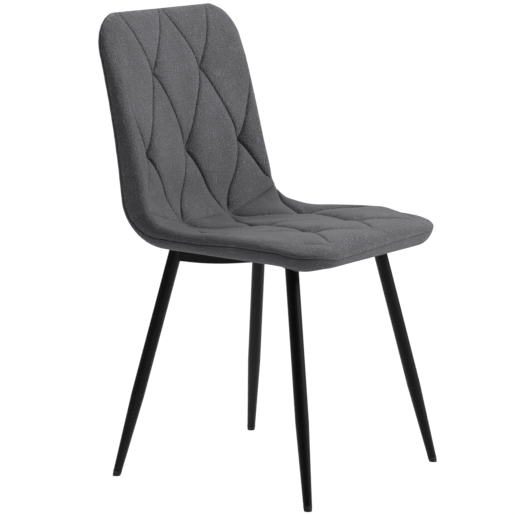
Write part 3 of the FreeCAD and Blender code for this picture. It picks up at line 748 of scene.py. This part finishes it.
# Zinc plating, bright but clouded.
zinc = wear_material("zinc_plated_steel", "#a7a9ab", "#c2c4c5", 0.35, 0.002, 0.0001, 1.0)
dress(zinc, "frame_bolts", "spring_washers", "flat_washers", "tee_nuts")

# ---- Floor ----
# A seamless floor of matt white paper. It glows to the camera only, and so stays white behind the chair.

FLOOR_REACH = 30.0
WHITE = (1.0, 1.0, 1.0, 1.0)

floor_mesh = bpy.data.meshes.new("floor")
floor_corners = [(x * FLOOR_REACH, y * FLOOR_REACH, 0.0) for x, y in ((-1, -1), (1, -1), (1, 1), (-1, 1))]
floor_mesh.from_pydata(floor_corners, [], [(0, 1, 2, 3)])
floor = bpy.data.objects.new("floor", floor_mesh)
bpy.context.scene.collection.objects.link(floor)
white_floor, floor_tree, floor_shader = new_material("white_studio_floor")
floor_shader.inputs["Base Color"].default_value = linear("#f2f2f2")
floor_shader.inputs["Roughness"].default_value = 0.9
floor_glow = add_node(floor_tree, "Emission", Color=WHITE, Strength=1.06).outputs[0]
floor_faint = add_node(floor_tree, "MixShader", _0=0.05, _1=floor_glow, _2=floor_shader.outputs[0])
floor_ray = add_node(floor_tree, "LightPath").outputs["Is Camera Ray"]
floor_seen = add_node(
    floor_tree, "MixShader", _0=floor_ray, _1=floor_shader.outputs[0], _2=floor_faint.outputs[0]
)
floor_out = floor_tree.nodes["Material Output"]
floor_tree.links.new(floor_seen.outputs[0], floor_out.inputs["Surface"])
floor.data.materials.append(white_floor)

# ---- Light ----
# A dim white room, a large softbox in front on the sitter's left, one above and behind the chair, and a
# faint one behind it on the right.

world = bpy.data.worlds.new("studio")
bpy.context.scene.world = world
world.use_nodes = True
sky = world.node_tree
sky.nodes.clear()
sky_ray = add_node(sky, "LightPath").outputs["Is Camera Ray"]
white = add_node(sky, "Background", Color=WHITE, Strength=1.0)
soft = add_node(sky, "Background", Color=WHITE, Strength=0.055)
seen = add_node(sky, "MixShader", _0=sky_ray, _1=soft.outputs[0], _2=white.outputs[0])
add_node(sky, "OutputWorld", Surface=seen.outputs[0])


def softbox(name, place, target, size, power):
    """A square area light facing a point."""
    lamp = bpy.data.lights.new(name, "AREA")
    lamp.size = size
    lamp.energy = power
    box = bpy.data.objects.new(name, lamp)
    box.location = place
    box.rotation_mode = "QUATERNION"
    box.rotation_quaternion = (Vector(target) - Vector(place)).to_track_quat("-Z", "Y")
    bpy.context.scene.collection.objects.link(box)


softbox("key", (3.1, -5.0, 3.9), (0.0, 0.1, 0.7), 2.6, 480.0)
softbox("rim", (-2.6, 2.2, 1.2), (0.0, 0.0, 0.5), 1.6, 3.0)
softbox("overhead", (0.4, 1.4, 2.6), (0.0, 0.0, 0.5), 1.6, 78.0)

# ---- Camera ----
# A long lens in front of the chair on the sitter's right, higher than its top and looking a little down.

AZIMUTH, ELEVATION = math.radians(-54.74), math.radians(9.94)
AIM = (0.0, 0.0223, 0.43)
CAMERA_DISTANCE = 4.650
CAMERA_DROP = 0.028

back_way = Vector(
    (
        math.sin(AZIMUTH) * math.cos(ELEVATION),
        -math.cos(AZIMUTH) * math.cos(ELEVATION),
        math.sin(ELEVATION),
    )
)
right_way = Vector((math.cos(AZIMUTH), math.sin(AZIMUTH), 0.0))
up_way = back_way.cross(right_way)
lens = bpy.data.cameras.new("camera")
lens.lens = 172.8
lens.sensor_width = 36.0
lens.clip_start, lens.clip_end = 0.1, 100.0
camera = bpy.data.objects.new("camera", lens)
camera.location = Vector(AIM) + back_way * CAMERA_DISTANCE - up_way * CAMERA_DROP
camera.rotation_mode = "QUATERNION"
camera.rotation_quaternion = (-back_way).to_track_quat("-Z", "Y")
bpy.context.scene.collection.objects.link(camera)
bpy.context.scene.camera = camera
bpy.context.scene.view_settings.view_transform = "Standard"
